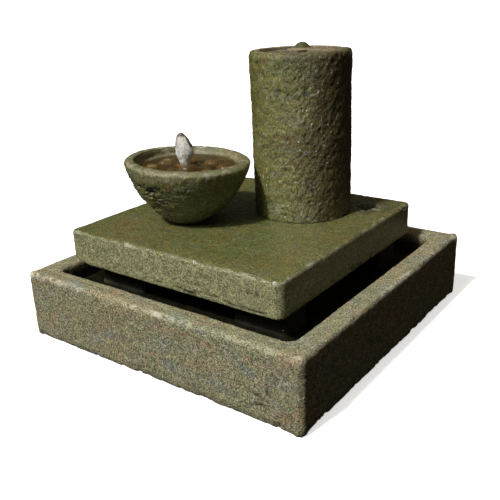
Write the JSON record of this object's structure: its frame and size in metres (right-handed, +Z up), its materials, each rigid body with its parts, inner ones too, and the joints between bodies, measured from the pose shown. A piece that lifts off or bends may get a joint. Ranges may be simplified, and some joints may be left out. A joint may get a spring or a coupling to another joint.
{
  "type": "tabletop water fountain",
  "caption": "Square cast stone basin with a raised slab that carries a round column and a bowl, fed by a hidden pump with adjustable flow.",
  "frame": {"origin": "centre of the basin's flat underside", "axes": "+Z up, -Y towards the front, +X to the right; the basin's sides are square to X and Y"},
  "size_m": [0.4, 0.4, 0.337],
  "materials": {
    "basin_stone": "cast stone, dry, mottled and worn at the edges",
    "slab_stone": "cast stone, wet, mossy olive",
    "column_stone": "cast stone, wet, pitted, mossy olive",
    "bowl_stone": "cast stone, wet, pale green lip",
    "pier_stone": "cast stone, plain",
    "pebble": "river pebble, wet",
    "pump_plastic": "moulded, satin black",
    "pipe_plastic": "moulded, black",
    "lever_plastic": "moulded, red",
    "clear_tube": "clear vinyl hose",
    "rubber": "soft, matt",
    "clip_steel": "zinc plated",
    "nozzle_brass": "dull, wet",
    "ceramic": "ground, white",
    "magnet": "ferrite, dark grey"
  },
  "bodies": {
    "basin": {"basin": "basin_stone", "riser_pier_front_left": "pier_stone", "riser_pier_front_right": "pier_stone", "riser_pier_back_left": "pier_stone", "riser_pier_back_right": "pier_stone", "pier_pads": "rubber", "pipe_tee": "pipe_plastic", "pump_riser_tube": "clear_tube", "hose_clamps": "clip_steel", "pump_motor": "pump_plastic", "pump_cord_gland": "pump_plastic", "pump_suction_feet": "rubber", "pump_volute": "pump_plastic", "pump_volute_seal": "rubber", "pump_front_bush": "rubber", "pump_rear_bush": "rubber", "pump_shaft": "ceramic", "bowl_elbow": "pipe_plastic", "bowl_inner_tube": "clear_tube", "bowl_outer_tube": "clear_tube", "bowl_valve_body": "pipe_plastic", "column_elbow": "pipe_plastic", "column_inner_tube": "clear_tube", "column_outer_tube": "clear_tube", "column_valve_body": "pipe_plastic"},
    "slab": {"slab": "slab_stone", "bowl_socket": "pipe_plastic", "column_socket": "pipe_plastic"},
    "column": {"column": "column_stone", "column_pipe": "pipe_plastic", "column_lower_bush": "rubber", "column_upper_bush": "rubber"},
    "bowl": {"bowl": "bowl_stone", "bowl_nozzle": "nozzle_brass", "bowl_upper_washer": "rubber", "bowl_lower_washer": "rubber", "bowl_lock_nut": "nozzle_brass", "bowl_pebbles": "pebble"},
    "nozzle_cap": {"bowl_nozzle_cap": "nozzle_brass"},
    "bowl_valve": {"bowl_valve_plug": "lever_plastic"},
    "column_valve": {"column_valve_plug": "lever_plastic"},
    "rotor": {"pump_magnet": "magnet", "pump_impeller": "pipe_plastic"},
    "intake_cover": {"pump_intake_cover": "pump_plastic"},
    "flow_dial": {"pump_flow_dial": "lever_plastic"},
    "stopper": {"cord_stopper": "rubber"}
  },
  "joints": [
    {"name": "slab_lift", "type": "slide", "parent": "basin", "child": "slab", "axis": [0, 0, 1], "range_m": [0, 0.06]},
    {"name": "column_lift", "type": "slide", "parent": "slab", "child": "column", "axis": [0, 0, 1], "range_m": [0, 0.06]},
    {"name": "bowl_lift", "type": "slide", "parent": "slab", "child": "bowl", "axis": [0, 0, 1], "range_m": [0, 0.06]},
    {"name": "nozzle_cap_pull", "type": "slide", "parent": "bowl", "child": "nozzle_cap", "axis": [0, 0, 1], "range_m": [0, 0.02]},
    {"name": "bowl_valve_turn", "type": "hinge", "parent": "basin", "child": "bowl_valve", "pos_m": [-0.03497, -0.02193, 0.097], "axis": [0, 0, 1], "range_deg": [0, 90]},
    {"name": "column_valve_turn", "type": "hinge", "parent": "basin", "child": "column_valve", "pos_m": [0.01497, 0.02993, 0.097], "axis": [0, 0, 1], "range_deg": [0, 90]},
    {"name": "rotor_spin", "type": "hinge", "parent": "basin", "child": "rotor", "pos_m": [-0.01, 0.01, 0.045], "axis": [0, 1, 0], "continuous": true},
    {"name": "intake_cover_pull", "type": "slide", "parent": "basin", "child": "intake_cover", "axis": [0, -1, 0], "range_m": [0, 0.03]},
    {"name": "flow_dial_turn", "type": "hinge", "parent": "intake_cover", "child": "flow_dial", "pos_m": [-0.01, -0.0225, 0.045], "axis": [0, 1, 0], "range_deg": [0, 45]},
    {"name": "stopper_pull", "type": "slide", "parent": "basin", "child": "stopper", "axis": [0, -1, 0], "range_m": [0, 0.034]}
  ]
}
